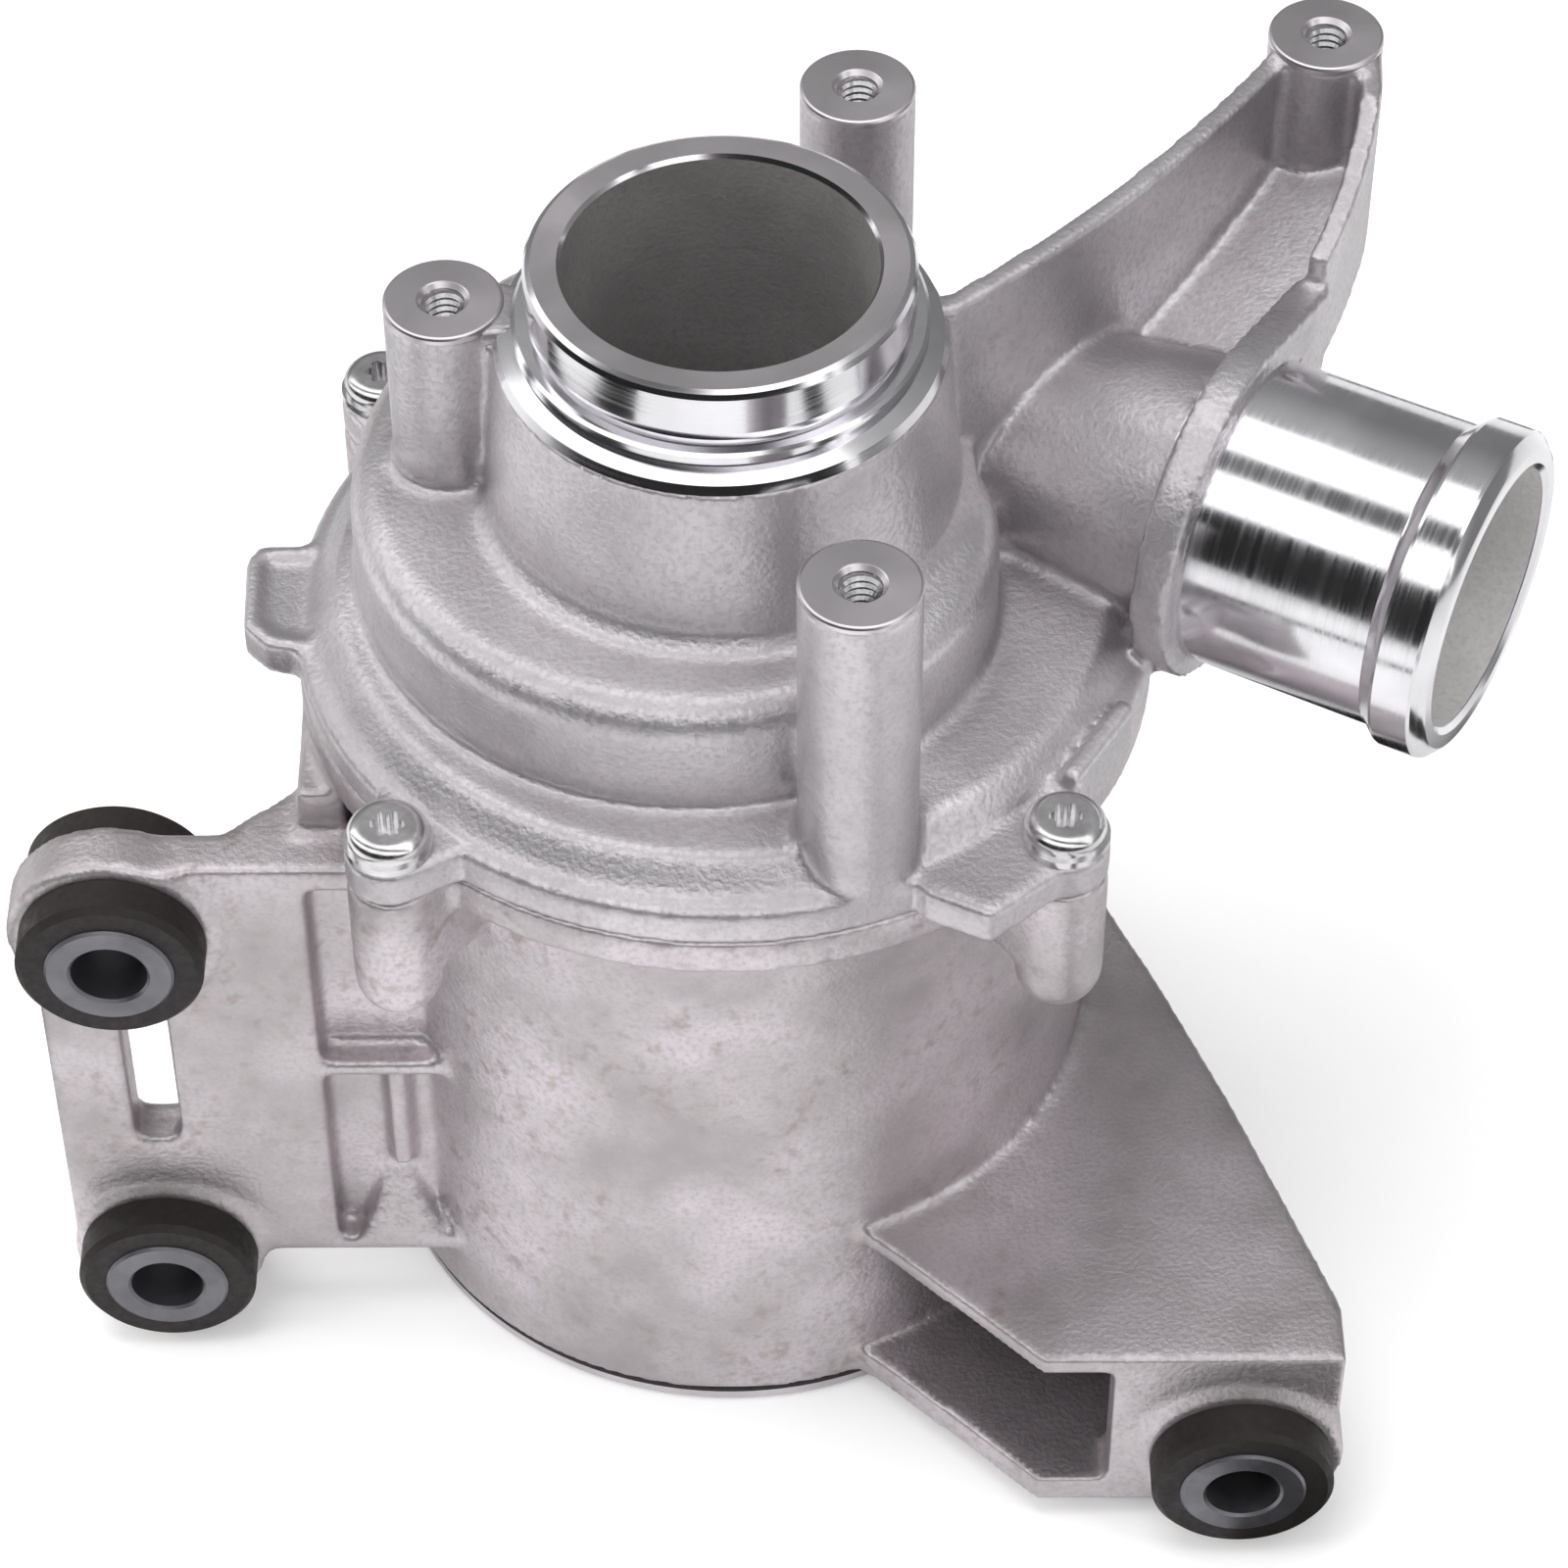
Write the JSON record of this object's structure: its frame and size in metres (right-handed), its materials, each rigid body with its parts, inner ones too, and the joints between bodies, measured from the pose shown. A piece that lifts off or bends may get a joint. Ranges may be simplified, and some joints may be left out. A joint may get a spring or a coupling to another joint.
{
  "type": "engine water pump",
  "caption": "Electric engine coolant pump: die-cast cover with inlet neck, beaded hose spigot and threaded bosses on a cylindrical motor with rubber-bushed mounting ears.",
  "frame": {"origin": "centre of the motor's flat foot, on the pump axis", "axes": "+Z along the pump axis towards the inlet neck, +X towards the side of the outlet spigot, -Y towards the front ears' bushing faces"},
  "size_m": [0.1853, 0.1339, 0.1545],
  "materials": {
    "cast_aluminium": "sand-grained die-cast aluminium, satin",
    "seal_rubber": "smooth black rubber",
    "bushing_rubber": "matte black rubber",
    "zinc_steel": "bright zinc-plated steel",
    "sleeve_steel": "satin grey steel",
    "lamination_steel": "stacked electrical steel",
    "insulator_plastic": "cream glass-filled plastic",
    "copper_wire": "enamelled copper wire",
    "can_steel": "thin drawn stainless steel",
    "shaft_steel": "ground stainless steel",
    "dark_plate": "black coated steel sheet",
    "board_green": "green coated circuit board",
    "capacitor_aluminium": "aluminium capacitor can",
    "black_plastic": "black moulded plastic",
    "tinned_brass": "tinned brass",
    "impeller_plastic": "dark glass-filled plastic",
    "magnet": "dark ferrite magnet",
    "carbon_bush": "grey-black carbon"
  },
  "bodies": {
    "pump_body": {"pump_cover": "cast_aluminium", "motor_housing": "cast_aluminium", "cover_seal": "seal_rubber", "cover_screws": "zinc_steel", "bushing_upper": "bushing_rubber", "bushing_lower": "bushing_rubber", "bushing_right": "bushing_rubber", "sleeve_upper": "sleeve_steel", "sleeve_lower": "sleeve_steel", "sleeve_right": "sleeve_steel", "stator_core": "lamination_steel", "stator_insulators": "insulator_plastic", "stator_windings": "copper_wire", "phase_leads": "copper_wire", "separating_can": "can_steel", "rotor_shaft": "shaft_steel", "thrust_washers": "shaft_steel", "shaft_nut": "zinc_steel", "end_cover": "dark_plate", "end_cover_gasket": "seal_rubber", "end_cover_screws": "zinc_steel", "control_board": "board_green", "board_capacitors": "capacitor_aluminium", "power_switches": "black_plastic", "connector_socket": "black_plastic", "connector_pins": "tinned_brass", "connector_screws": "zinc_steel"},
    "rotor": {"impeller": "impeller_plastic", "impeller_shroud": "impeller_plastic", "rotor_core": "lamination_steel", "rotor_magnets": "magnet", "rotor_jacket": "impeller_plastic", "bearing_rear": "carbon_bush", "bearing_front": "carbon_bush"}
  },
  "joints": [
    {"name": "rotor_spin", "type": "hinge", "parent": "pump_body", "child": "rotor", "pos_m": [0, 0, 0.06], "axis": [0, 0, 1], "continuous": true}
  ]
}
